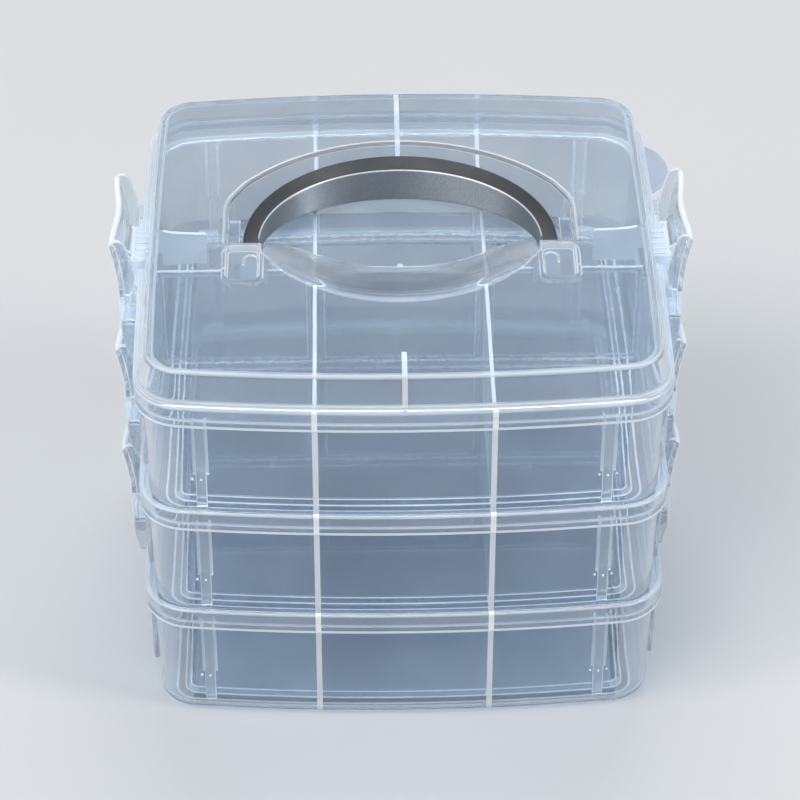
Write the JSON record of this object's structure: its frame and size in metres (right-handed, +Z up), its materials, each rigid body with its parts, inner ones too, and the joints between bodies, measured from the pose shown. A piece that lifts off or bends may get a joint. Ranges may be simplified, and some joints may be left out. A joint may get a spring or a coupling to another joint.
{
  "type": "compartment organizer box",
  "caption": "Clear stacking compartment box with nesting trays, removable dividers, hinged side latches and a lid with a folding carrying handle.",
  "frame": {"origin": "centre of the bottom tray's foot, on the surface it stands on", "axes": "+X to the right across the latches, +Y to the back where the folded handle points, +Z up"},
  "size_m": [0.1714, 0.1532, 0.136],
  "materials": {
    "clear_plastic": "clear, slightly milky polypropylene",
    "lid_plastic": "clear, slightly milky polypropylene",
    "divider_plastic": "clear polypropylene sheet",
    "latch_plastic": "clear polypropylene",
    "silver_handle": "satin silver-grey"
  },
  "bodies": {
    "base": {"tray_bottom": "clear_plastic", "divider_bottom_left": "divider_plastic", "divider_bottom_centre": "divider_plastic", "divider_bottom_right": "divider_plastic"},
    "middle": {"tray_middle": "clear_plastic", "divider_middle_left": "divider_plastic", "divider_middle_centre": "divider_plastic", "divider_middle_right": "divider_plastic"},
    "top": {"tray_top": "clear_plastic", "divider_top_left": "divider_plastic", "divider_top_centre": "divider_plastic", "divider_top_right": "divider_plastic"},
    "lid": {"lid": "lid_plastic"},
    "handle": {"handle": "silver_handle"},
    "latch_bottom_left": {"latch_bottom_left": "latch_plastic"},
    "latch_bottom_right": {"latch_bottom_right": "latch_plastic"},
    "latch_middle_left": {"latch_middle_left": "latch_plastic"},
    "latch_middle_right": {"latch_middle_right": "latch_plastic"},
    "latch_top_left": {"latch_top_left": "latch_plastic"},
    "latch_top_right": {"latch_top_right": "latch_plastic"}
  },
  "joints": [
    {"name": "middle_tray_lift", "type": "slide", "parent": "base", "child": "middle", "axis": [0, 0, 1], "range_m": [0, 0.02]},
    {"name": "top_tray_lift", "type": "slide", "parent": "middle", "child": "top", "axis": [0, 0, 1], "range_m": [0, 0.02]},
    {"name": "lid_lift", "type": "slide", "parent": "top", "child": "lid", "axis": [0, 0, 1], "range_m": [0, 0.02]},
    {"name": "handle_fold", "type": "hinge", "parent": "lid", "child": "handle", "pos_m": [0, -0.0025, 0.1225], "axis": [1, 0, 0], "range_deg": [0, 100]},
    {"name": "latch_bottom_left_hinge", "type": "hinge", "parent": "base", "child": "latch_bottom_left", "pos_m": [-0.08, 0, 0.0306], "axis": [0, -1, 0], "range_deg": [0, 104]},
    {"name": "latch_bottom_right_hinge", "type": "hinge", "parent": "base", "child": "latch_bottom_right", "pos_m": [0.08, 0, 0.0306], "axis": [0, 1, 0], "range_deg": [0, 104]},
    {"name": "latch_middle_left_hinge", "type": "hinge", "parent": "middle", "child": "latch_middle_left", "pos_m": [-0.08, 0, 0.0683], "axis": [0, -1, 0], "range_deg": [0, 104]},
    {"name": "latch_middle_right_hinge", "type": "hinge", "parent": "middle", "child": "latch_middle_right", "pos_m": [0.08, 0, 0.0683], "axis": [0, 1, 0], "range_deg": [0, 104]},
    {"name": "latch_top_left_hinge", "type": "hinge", "parent": "top", "child": "latch_top_left", "pos_m": [-0.08, 0, 0.106], "axis": [0, -1, 0], "range_deg": [0, 104]},
    {"name": "latch_top_right_hinge", "type": "hinge", "parent": "top", "child": "latch_top_right", "pos_m": [0.08, 0, 0.106], "axis": [0, 1, 0], "range_deg": [0, 104]}
  ],
  "couplings": [
    {"joint": "latch_bottom_left_hinge", "follows": "middle_tray_lift", "rad_per_m": 90},
    {"joint": "latch_bottom_right_hinge", "follows": "middle_tray_lift", "rad_per_m": 90},
    {"joint": "latch_middle_left_hinge", "follows": "top_tray_lift", "rad_per_m": 90},
    {"joint": "latch_middle_right_hinge", "follows": "top_tray_lift", "rad_per_m": 90},
    {"joint": "latch_top_left_hinge", "follows": "lid_lift", "rad_per_m": 90},
    {"joint": "latch_top_right_hinge", "follows": "lid_lift", "rad_per_m": 90}
  ]
}
